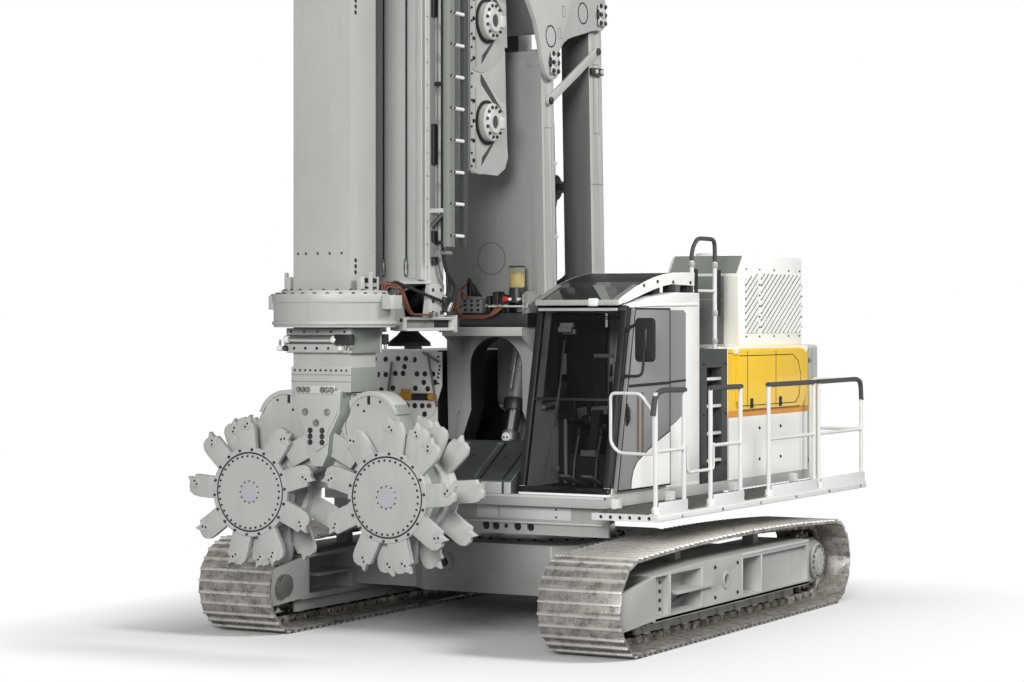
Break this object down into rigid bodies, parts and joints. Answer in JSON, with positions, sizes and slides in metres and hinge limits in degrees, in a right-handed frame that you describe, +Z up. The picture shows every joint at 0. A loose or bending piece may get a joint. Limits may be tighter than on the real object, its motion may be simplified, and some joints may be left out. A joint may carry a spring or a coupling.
{
  "type": "crawler soil mixing rig with a twin wheel cutter",
  "caption": "Crawler carrier with a tall box leader on parallel links, guiding a square bar that ends in a twin wheel soil mixing cutter.",
  "frame": {"origin": "on the ground, on the slewing axis", "axes": "+X forward towards the cutter, +Y to the machine's left where the cab is, +Z up"},
  "size_m": [8.232, 4.4, 21.5],
  "materials": {
    "grey_paint": "satin light grey paint",
    "dark_paint": "satin dark grey paint",
    "white_paint": "satin cream white paint",
    "yellow_paint": "satin yellow paint",
    "black_paint": "satin black paint",
    "steel": "bare machined steel",
    "worn_steel": "worn and stained steel",
    "chrome_rod": "polished piston rod",
    "glass": "tinted safety glass"
  },
  "bodies": {
    "undercarriage": {"carbody": "grey_paint", "slew_ring": "steel", "track_frame_left": "grey_paint", "track_frame_right": "grey_paint", "track_left": "worn_steel", "track_right": "worn_steel", "running_wheels_left": "steel", "running_wheels_right": "steel"},
    "superstructure": {"main_frame": "grey_paint", "link_stand": "grey_paint", "front_cover": "dark_paint", "counterweight": "grey_paint", "engine_hood": "white_paint", "engine_block": "dark_paint", "tank_housing": "white_paint", "step_panel": "dark_paint", "cooler_box": "white_paint", "walkway": "white_paint", "walkway_rail": "white_paint", "roof_handrail": "white_paint", "cab_shell": "white_paint", "cab_glass": "glass", "cab_roof_guard": "black_paint", "cab_seat": "black_paint", "cab_mirror": "black_paint"},
    "door": {"cab_door": "grey_paint"},
    "flap": {"engine_flap": "yellow_paint"},
    "front_arm": {"front_link": "grey_paint", "link_shelf": "grey_paint"},
    "rear_arm": {"rear_link": "grey_paint"},
    "tie_bar": {"link_bar": "steel"},
    "luff_tube": {"luff_barrel": "dark_paint"},
    "luff_piston": {"luff_rod": "chrome_rod"},
    "rocker_frame": {"rocker": "grey_paint"},
    "tilt_tubes": {"tilt_barrels": "dark_paint"},
    "tilt_pistons": {"tilt_rods": "chrome_rod"},
    "mast": {"leader": "grey_paint", "leader_head": "grey_paint", "head_sheaves": "steel", "leader_pivot": "grey_paint", "leader_ladder": "grey_paint", "winch_frames": "grey_paint", "guide_housing": "grey_paint"},
    "lower_drum": {"winch_drum_lower": "steel"},
    "upper_drum": {"winch_drum_upper": "steel"},
    "turning_guide": {"guide_rotor": "grey_paint"},
    "carriage": {"bar_carriage": "grey_paint"},
    "bar": {"square_bar": "grey_paint", "cutter_frame": "grey_paint", "scraper_plates": "grey_paint"},
    "left_wheel": {"cutter_wheel_left": "grey_paint"},
    "right_wheel": {"cutter_wheel_right": "grey_paint"}
  },
  "joints": [
    {"name": "slew", "type": "hinge", "parent": "undercarriage", "child": "superstructure", "pos_m": [0, 0, 0.93], "axis": [0, 0, 1], "continuous": true},
    {"name": "cab_door_slide", "type": "slide", "parent": "superstructure", "child": "door", "axis": [-1, 0, 0], "range_m": [0, 0.8]},
    {"name": "engine_flap_hinge", "type": "hinge", "parent": "superstructure", "child": "flap", "pos_m": [-2.23, 1.52, 2.62], "axis": [1, 0, 0], "range_deg": [0, 85]},
    {"name": "boom_luff", "type": "hinge", "parent": "superstructure", "child": "front_arm", "pos_m": [0.8, 0, 1.615], "axis": [0, 1, 0], "range_deg": [-9, 4]},
    {"name": "rear_link_swing", "type": "hinge", "parent": "superstructure", "child": "rear_arm", "pos_m": [-0.2, 0, 2.175], "axis": [0, 1, 0], "range_deg": [-9.5, 4.5]},
    {"name": "rocker_level", "type": "hinge", "parent": "front_arm", "child": "rocker_frame", "pos_m": [0.93, 0, 5.375], "axis": [0, 1, 0], "range_deg": [-4.5, 9.5]},
    {"name": "tie_bar_swing", "type": "hinge", "parent": "front_arm", "child": "tie_bar", "pos_m": [0.91765, 0, 5.0178], "axis": [0, 1, 0], "range_deg": [-4.5, 9.5]},
    {"name": "luff_barrel_swing", "type": "hinge", "parent": "rear_arm", "child": "luff_tube", "pos_m": [-0.128, 0, 4.255], "axis": [0, 1, 0], "range_deg": [-2, 3.5]},
    {"name": "luff_rod_slide", "type": "slide", "parent": "luff_tube", "child": "luff_piston", "axis": [0.308, 0, -0.9514], "range_m": [-0.056, 0.116]},
    {"name": "mast_tilt", "type": "hinge", "parent": "rocker_frame", "child": "mast", "pos_m": [2, 0, 6.955], "axis": [0, 1, 0], "range_deg": [-15, 5]},
    {"name": "tilt_barrel_swing", "type": "hinge", "parent": "rocker_frame", "child": "tilt_tubes", "pos_m": [0.1, 0, 6.805], "axis": [0, 1, 0], "range_deg": [-10, 3.6]},
    {"name": "tilt_rod_slide", "type": "slide", "parent": "tilt_tubes", "child": "tilt_pistons", "axis": [0.5985, 0, 0.8011], "range_m": [-0.41, 0.14]},
    {"name": "bar_slide", "type": "slide", "parent": "mast", "child": "carriage", "axis": [0, 0, 1], "range_m": [-15.6, 0.1]},
    {"name": "bar_swivel", "type": "hinge", "parent": "carriage", "child": "bar", "pos_m": [3.8, 0, 19.2], "axis": [0, 0, 1], "range_deg": [-90, 90]},
    {"name": "guide_turn", "type": "hinge", "parent": "mast", "child": "turning_guide", "pos_m": [3.8, 0, 2.955], "axis": [0, 0, 1], "range_deg": [-91, 91]},
    {"name": "wheel_left_spin", "type": "hinge", "parent": "bar", "child": "left_wheel", "pos_m": [3.8, 0.691, 1.455], "axis": [1, 0, 0], "continuous": true},
    {"name": "wheel_right_spin", "type": "hinge", "parent": "bar", "child": "right_wheel", "pos_m": [3.8, -0.691, 1.455], "axis": [1, 0, 0], "continuous": true},
    {"name": "winch_lower_spin", "type": "hinge", "parent": "mast", "child": "lower_drum", "pos_m": [1.89, 0, 4.745], "axis": [0, 1, 0], "continuous": true},
    {"name": "winch_upper_spin", "type": "hinge", "parent": "mast", "child": "upper_drum", "pos_m": [1.89, 0, 5.675], "axis": [0, 1, 0], "continuous": true}
  ],
  "couplings": [
    {"joint": "rear_link_swing", "follows": "boom_luff", "ratio": 1},
    {"joint": "rocker_level", "follows": "boom_luff", "ratio": -1},
    {"joint": "tie_bar_swing", "follows": "boom_luff", "ratio": -1},
    {"joint": "luff_barrel_swing", "follows": "boom_luff", "ratio": -0.3},
    {"joint": "luff_rod_slide", "follows": "boom_luff", "m_per_rad": -0.68},
    {"joint": "tilt_barrel_swing", "follows": "mast_tilt", "ratio": 0.63},
    {"joint": "tilt_rod_slide", "follows": "mast_tilt", "m_per_rad": 1.5},
    {"joint": "guide_turn", "follows": "bar_swivel", "ratio": 1}
  ]
}
